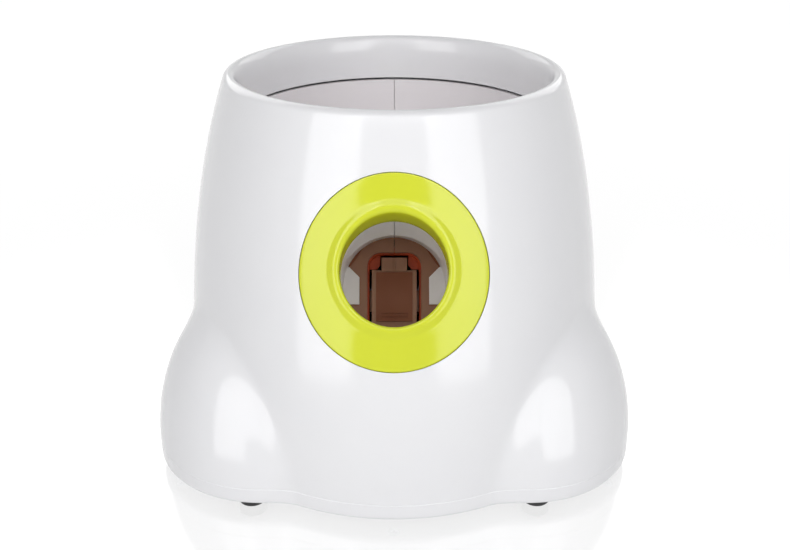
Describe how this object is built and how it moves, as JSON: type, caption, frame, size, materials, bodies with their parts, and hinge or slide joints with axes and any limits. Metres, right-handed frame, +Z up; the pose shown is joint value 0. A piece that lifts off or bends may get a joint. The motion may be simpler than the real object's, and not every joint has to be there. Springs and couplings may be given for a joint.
{
  "type": "automatic dog ball launcher",
  "caption": "Tapered launcher with a ball hopper on top, leg lobes, an inclined barrel behind a lime outlet ring, and a motor-wound sprung hammer that knocks balls out.",
  "frame": {"origin": "on the ground under the middle of the part's bounding box", "axes": "+Z up; the outlet faces -Y, the control panel and the plug socket face +Y, +X is to the launcher's right seen from behind"},
  "size_m": [0.2864, 0.2811, 0.23],
  "materials": {
    "white_abs": "satin moulded",
    "lime_abs": "satin moulded",
    "cream_abs": "moulded",
    "brown_acetal": "moulded",
    "gear_acetal": "moulded",
    "cover_abs": "fine texture",
    "black_plastic": "moulded",
    "black_rubber": "matt",
    "brown_rubber": "matt",
    "orange_rubber": "matt",
    "zinc_steel": "zinc plated",
    "bright_steel": "ground",
    "bronze": "sintered",
    "brass": "cut",
    "green_laminate": "solder mask",
    "clear_lens": "polished",
    "cell_jacket": "printed sleeve"
  },
  "bodies": {
    "casing": {"outer_shell": "white_abs", "base_tray": "white_abs", "rubber_feet": "black_rubber", "base_screws": "zinc_steel", "outlet_ring": "lime_abs", "chute_left": "cream_abs", "chute_right": "cream_abs", "chute_screws": "zinc_steel", "hopper_screws": "zinc_steel", "breech_screws": "zinc_steel", "gear_frame_left": "brown_acetal", "gear_frame_right": "brown_acetal", "frame_screws": "zinc_steel", "mount_screws": "zinc_steel", "bumper": "orange_rubber", "axle_bushes": "bronze", "hammer_springs": "bright_steel", "winding_axle": "bright_steel", "reduction_axle": "bright_steel", "motor": "zinc_steel", "motor_screws": "zinc_steel", "gear_cover": "cover_abs", "cover_screws": "zinc_steel", "panel_bezel": "lime_abs", "status_lens": "clear_lens", "button_board": "green_laminate", "panel_screws": "zinc_steel", "main_board": "green_laminate", "speaker": "black_plastic", "ball_sensors": "black_plastic", "dc_socket": "black_plastic", "socket_nut": "zinc_steel", "battery_cells": "cell_jacket", "battery_contacts": "zinc_steel", "battery_springs": "bright_steel", "battery_door": "white_abs", "door_screw": "zinc_steel"},
    "hammer": {"hammer": "brown_acetal", "striker_pad": "brown_rubber", "hammer_axle": "bright_steel", "axle_clips": "zinc_steel", "sector_gear": "gear_acetal"},
    "winding_gear": {"winding_gear": "gear_acetal"},
    "reduction_gear": {"reduction_gear": "gear_acetal"},
    "motor_pinion": {"motor_shaft": "bright_steel", "motor_pinion": "brass"},
    "power_button": {"power_button": "white_abs"},
    "short_button": {"short_button": "white_abs"},
    "medium_button": {"medium_button": "white_abs"},
    "long_button": {"long_button": "white_abs"}
  },
  "joints": [
    {"name": "hammer_swing", "type": "hinge", "parent": "casing", "child": "hammer", "pos_m": [0, -0.06895, 0.06377], "axis": [-1, 0, 0], "range_deg": [0, 60], "stiffness_Nm_per_rad": 0.3, "springref_deg": -28.65, "deforming": ["hammer_springs"]},
    {"name": "winding_turn", "type": "hinge", "parent": "casing", "child": "winding_gear", "pos_m": [0, -0.0394, 0.06898], "axis": [-1, 0, 0], "range_deg": [-73.34, 0]},
    {"name": "reduction_turn", "type": "hinge", "parent": "casing", "child": "reduction_gear", "pos_m": [0, -0.0082, 0.07062], "axis": [-1, 0, 0], "range_deg": [0, 188.58]},
    {"name": "motor_turn", "type": "hinge", "parent": "casing", "child": "motor_pinion", "pos_m": [0, 0.01877, 0.0692], "axis": [-1, 0, 0], "range_deg": [-538.8, 0]},
    {"name": "power_press", "type": "slide", "parent": "casing", "child": "power_button", "axis": [0, -1, 0], "range_m": [0, 0.001], "stiffness_N_per_m": 400, "springref_m": -0.001},
    {"name": "short_press", "type": "slide", "parent": "casing", "child": "short_button", "axis": [0, -1, 0], "range_m": [0, 0.001], "stiffness_N_per_m": 400, "springref_m": -0.001},
    {"name": "medium_press", "type": "slide", "parent": "casing", "child": "medium_button", "axis": [0, -1, 0], "range_m": [0, 0.001], "stiffness_N_per_m": 400, "springref_m": -0.001},
    {"name": "long_press", "type": "slide", "parent": "casing", "child": "long_button", "axis": [0, -1, 0], "range_m": [0, 0.001], "stiffness_N_per_m": 400, "springref_m": -0.001}
  ],
  "couplings": [
    {"joint": "winding_turn", "follows": "hammer_swing", "ratio": -1.2222},
    {"joint": "reduction_turn", "follows": "hammer_swing", "ratio": 3.1429},
    {"joint": "motor_turn", "follows": "hammer_swing", "ratio": -8.9796}
  ]
}
